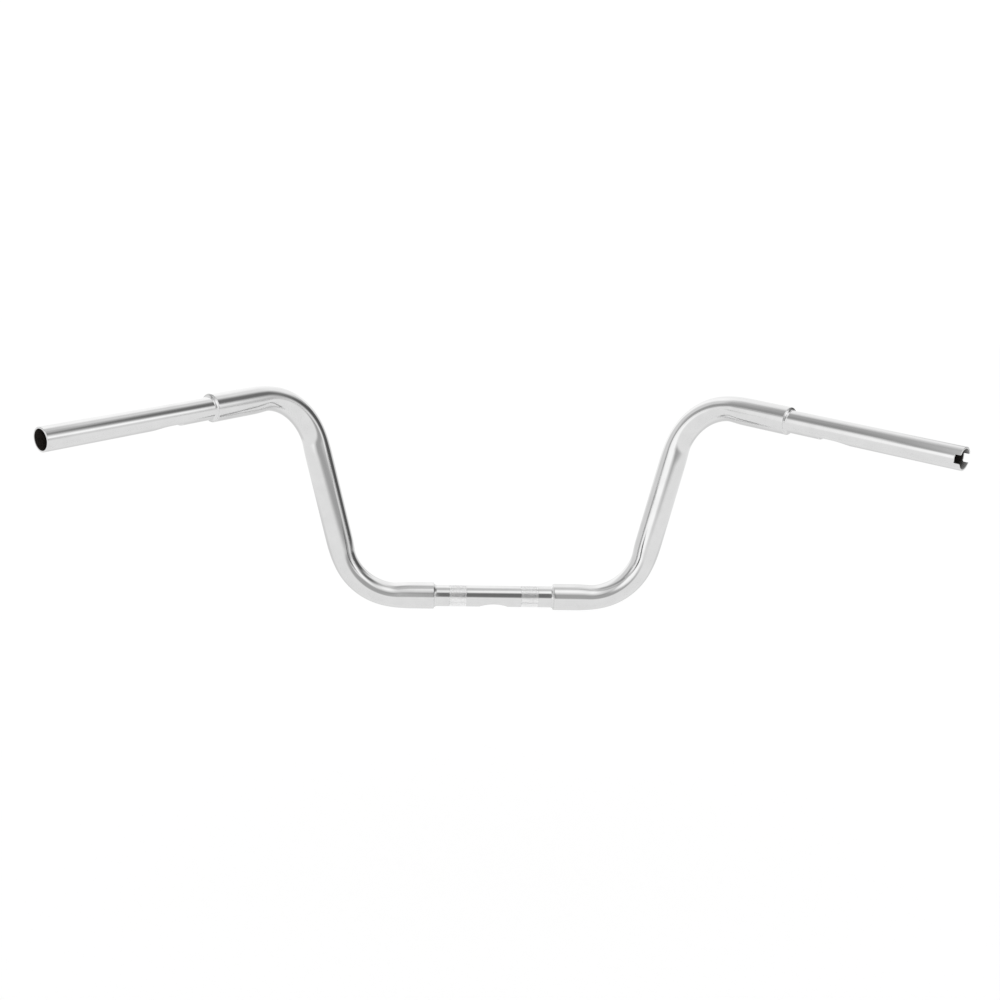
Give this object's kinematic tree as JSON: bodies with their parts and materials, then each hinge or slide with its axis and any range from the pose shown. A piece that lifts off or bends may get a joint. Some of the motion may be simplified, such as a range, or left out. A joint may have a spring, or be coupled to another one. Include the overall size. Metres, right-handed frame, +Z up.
{
  "type": "ape hanger handlebar",
  "caption": "Tall motorcycle handlebar of chromed steel tube: a knurled clamp tube sleeved into two fat risers, each bent up and then back to a slimmer grip tube with wire openings",
  "frame": {"origin": "middle of the clamp tube's axis, where the risers of the motorcycle clamp it", "axes": "+X along the clamp tube to the rider's right, +Y forward away from the rider, +Z up; the upright stretches lie in the XZ plane and the grips run back towards -Y"},
  "size_m": [0.9405, 0.2716, 0.2693],
  "materials": {
    "chrome_plate": "mirror-polished chrome plate on steel tube"
  },
  "bodies": {
    "root": {"centre_clamp_tube": "chrome_plate", "left_riser_tube": "chrome_plate", "right_riser_tube": "chrome_plate", "left_grip_tube": "chrome_plate", "right_grip_tube": "chrome_plate", "left_clamp_weld": "chrome_plate", "right_clamp_weld": "chrome_plate", "left_grip_weld": "chrome_plate", "right_grip_weld": "chrome_plate"}
  },
  "joints": []
}
